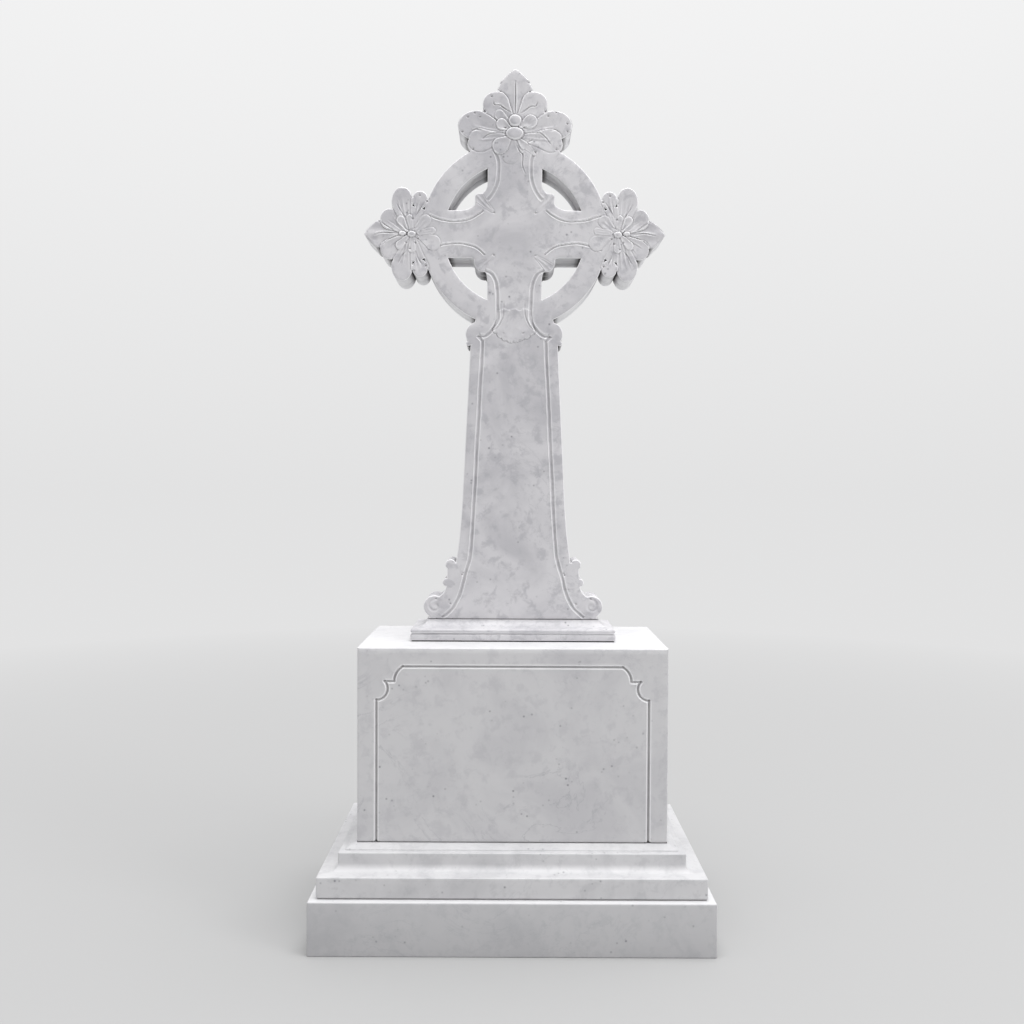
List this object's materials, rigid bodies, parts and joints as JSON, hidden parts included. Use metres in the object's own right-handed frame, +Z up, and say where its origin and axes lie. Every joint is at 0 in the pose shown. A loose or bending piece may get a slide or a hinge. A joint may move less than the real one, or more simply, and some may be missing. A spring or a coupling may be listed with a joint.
{
  "type": "celtic cross gravestone",
  "caption": "Upright grave memorial: a carved ringed cross with leaf ends on a tapered shaft, standing on a moulded plinth, a panelled die block and a stepped base",
  "frame": {"origin": "centre of the underside of the bottom block, on the ground", "axes": "+Z up; the carved front faces -Y; +X to the right of someone who faces the front"},
  "size_m": [0.844, 0.53, 1.9],
  "materials": {
    "base_marble": "honed white marble with grey clouds, slightly greyer near the ground",
    "die_marble": "honed white marble with soft grey clouds and thin veins",
    "cross_marble": "honed and carved white marble with soft grey clouds, thin veins and small dark specks"
  },
  "bodies": {
    "root": {"bottom_block": "base_marble", "moulded_base": "base_marble", "die_block": "die_marble", "cross_plinth": "cross_marble", "celtic_cross": "cross_marble"}
  },
  "joints": []
}
